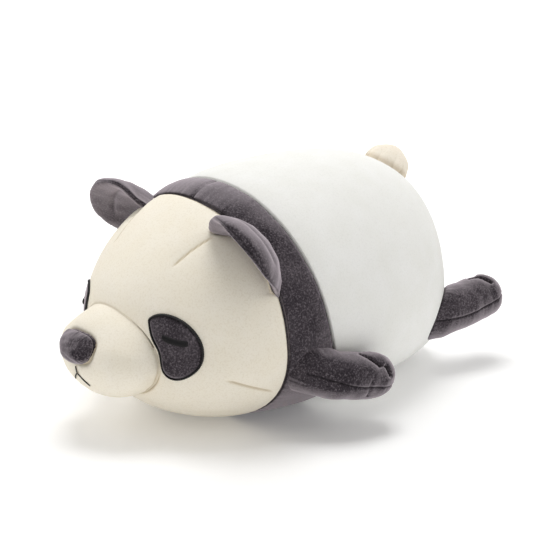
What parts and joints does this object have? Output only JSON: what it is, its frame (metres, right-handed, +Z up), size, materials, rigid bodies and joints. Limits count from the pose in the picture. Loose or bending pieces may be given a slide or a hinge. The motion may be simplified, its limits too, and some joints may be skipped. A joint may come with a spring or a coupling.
{
  "type": "plush animal",
  "caption": "Stuffed velour panda lying on its belly, with muzzle, cupped ears, closed embroidered eyes, neck band, swept-back arms, raised feet and a round tail.",
  "frame": {"origin": "centre of the bounding box on the plane that the belly rests on", "axes": "-Y to the nose, +X to the left side of the plush, +Z up"},
  "size_m": [0.308, 0.4485, 0.2169],
  "materials": {
    "cream_velour": "short-pile stretch velour",
    "white_velour": "short-pile stretch velour",
    "tail_velour": "short-pile stretch velour, gathered",
    "charcoal_velour": "short-pile stretch velour with a sheen",
    "black_thread": "satin embroidery thread",
    "white_thread": "sewing thread",
    "label_tape": "plain satin tape",
    "fibre_filling": "loose polyester fibre"
  },
  "bodies": {
    "torso": {"torso_filling": "fibre_filling", "neck_filling": "fibre_filling", "neck_band_left": "charcoal_velour", "neck_band_right": "charcoal_velour", "back_panel": "white_velour", "belly_panel": "white_velour", "closing_stitches": "white_thread", "care_label": "label_tape"},
    "head": {"head_filling": "fibre_filling", "muzzle_filling": "fibre_filling", "face_panel": "cream_velour", "muzzle_panel": "cream_velour", "nose_pad": "charcoal_velour", "mouth_stitches": "black_thread", "eye_patch_left": "charcoal_velour", "eye_patch_right": "charcoal_velour", "eye_border_left": "black_thread", "eye_border_right": "black_thread", "eye_stitches_left": "black_thread", "eye_stitches_right": "black_thread"},
    "tail": {"tail_cover": "tail_velour", "tail_filling": "fibre_filling"},
    "ear_left": {"ear_front_left": "charcoal_velour", "ear_back_left": "charcoal_velour", "ear_wadding_left": "fibre_filling"},
    "arm_left": {"arm_top_left": "charcoal_velour", "arm_under_left": "charcoal_velour", "arm_filling_left": "fibre_filling", "arm_toe_stitches_left": "black_thread"},
    "leg_left": {"leg_top_left": "charcoal_velour", "leg_sole_left": "charcoal_velour", "leg_filling_left": "fibre_filling", "leg_toe_stitches_left": "black_thread"},
    "ear_right": {"ear_front_right": "charcoal_velour", "ear_back_right": "charcoal_velour", "ear_wadding_right": "fibre_filling"},
    "arm_right": {"arm_top_right": "charcoal_velour", "arm_under_right": "charcoal_velour", "arm_filling_right": "fibre_filling", "arm_toe_stitches_right": "black_thread"},
    "leg_right": {"leg_top_right": "charcoal_velour", "leg_sole_right": "charcoal_velour", "leg_filling_right": "fibre_filling", "leg_toe_stitches_right": "black_thread"}
  },
  "joints": [
    {"name": "head_nod", "type": "hinge", "parent": "torso", "child": "head", "pos_m": [0, -0.056, 0.095], "axis": [-1, 0, 0], "range_deg": [-4, 12], "stiffness_Nm_per_rad": 6, "deforming": ["neck_band_left", "neck_band_right", "neck_filling"]},
    {"name": "tail_wag", "type": "hinge", "parent": "torso", "child": "tail", "pos_m": [0, 0.136, 0.19], "axis": [1, 0, 0], "range_deg": [-12, 12], "stiffness_Nm_per_rad": 0.15, "deforming": ["tail_cover"]},
    {"name": "ear_left_fold", "type": "hinge", "parent": "head", "child": "ear_left", "pos_m": [0.088, -0.0953, 0.1638], "axis": [0.7253, 0.2393, -0.6455], "range_deg": [-20, 40], "stiffness_Nm_per_rad": 0.2, "deforming": ["ear_front_left", "ear_back_left"]},
    {"name": "arm_left_swing", "type": "hinge", "parent": "torso", "child": "arm_left", "pos_m": [0.113, -0.049, 0.058], "axis": [0, 0, -1], "range_deg": [0, 50], "stiffness_Nm_per_rad": 0.4, "deforming": ["arm_top_left", "arm_under_left"]},
    {"name": "leg_left_lift", "type": "hinge", "parent": "torso", "child": "leg_left", "pos_m": [0.062, 0.14, 0.054], "axis": [1, 0, 0], "range_deg": [-12, 20], "stiffness_Nm_per_rad": 0.4, "deforming": ["leg_top_left", "leg_sole_left"]},
    {"name": "ear_right_fold", "type": "hinge", "parent": "head", "child": "ear_right", "pos_m": [-0.088, -0.0953, 0.1638], "axis": [0.7253, -0.2393, 0.6455], "range_deg": [-20, 40], "stiffness_Nm_per_rad": 0.2, "deforming": ["ear_front_right", "ear_back_right"]},
    {"name": "arm_right_swing", "type": "hinge", "parent": "torso", "child": "arm_right", "pos_m": [-0.113, -0.049, 0.058], "axis": [0, 0, 1], "range_deg": [0, 50], "stiffness_Nm_per_rad": 0.4, "deforming": ["arm_top_right", "arm_under_right"]},
    {"name": "leg_right_lift", "type": "hinge", "parent": "torso", "child": "leg_right", "pos_m": [-0.062, 0.14, 0.054], "axis": [1, 0, 0], "range_deg": [-12, 20], "stiffness_Nm_per_rad": 0.4, "deforming": ["leg_top_right", "leg_sole_right"]}
  ]
}
